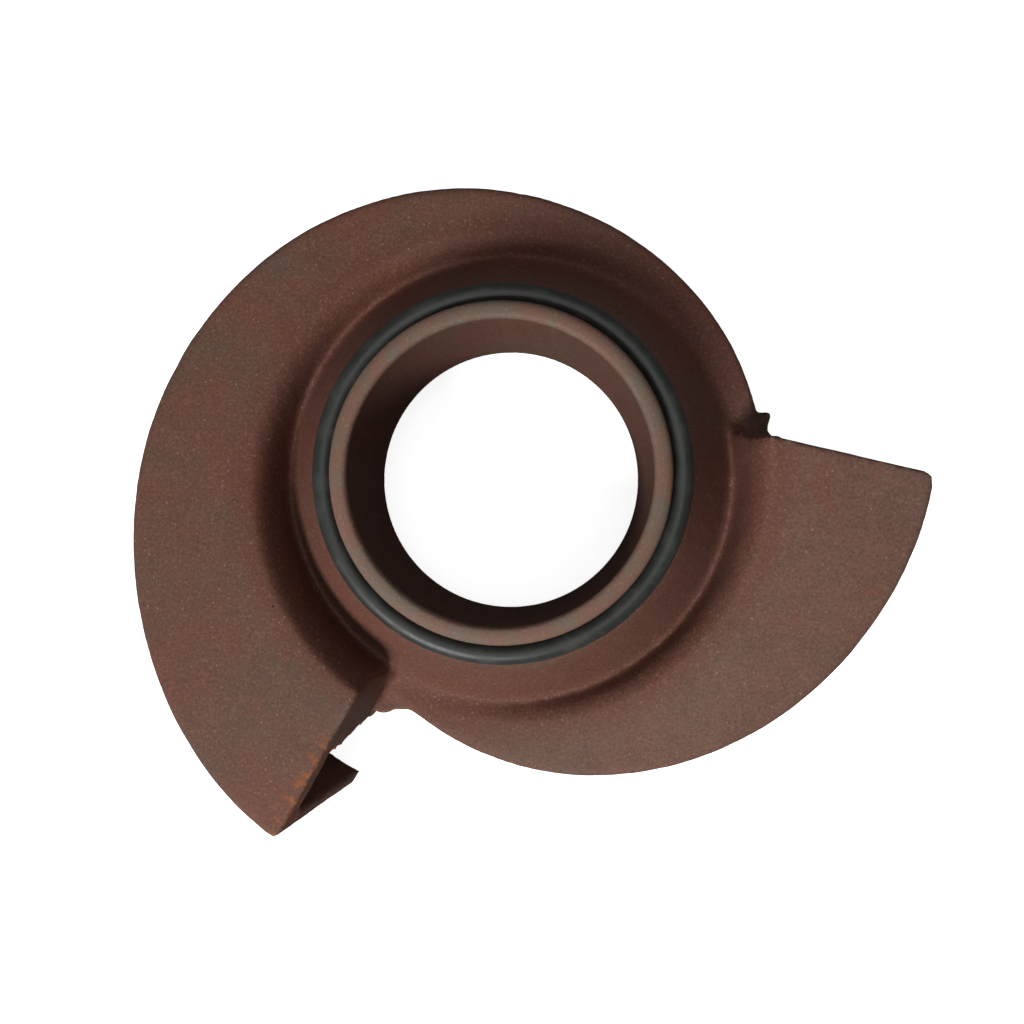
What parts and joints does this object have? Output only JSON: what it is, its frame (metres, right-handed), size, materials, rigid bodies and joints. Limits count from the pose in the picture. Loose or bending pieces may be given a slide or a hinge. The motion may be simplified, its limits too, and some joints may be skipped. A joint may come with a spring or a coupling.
{
  "type": "volute pump casing",
  "caption": "Cast dual volute pump casing, open at the back, with a suction neck and its rubber seal ring, a cone, and spiral channels that rise and widen to slanted outlets.",
  "frame": {"origin": "on the suction bore's axis, in the plane of the open back face that the casing stands on", "axes": "+Z along the suction bore's axis, out of the neck; +X towards the mouth of the short arm, whose flow leaves along +Y"},
  "size_m": [0.2243, 0.1907, 0.0664],
  "materials": {
    "casting": "matt red-brown primer, rusted in places",
    "seal": "satin black rubber"
  },
  "bodies": {
    "root": {"volute_casing": "casting", "neck_seal": "seal"}
  },
  "joints": []
}
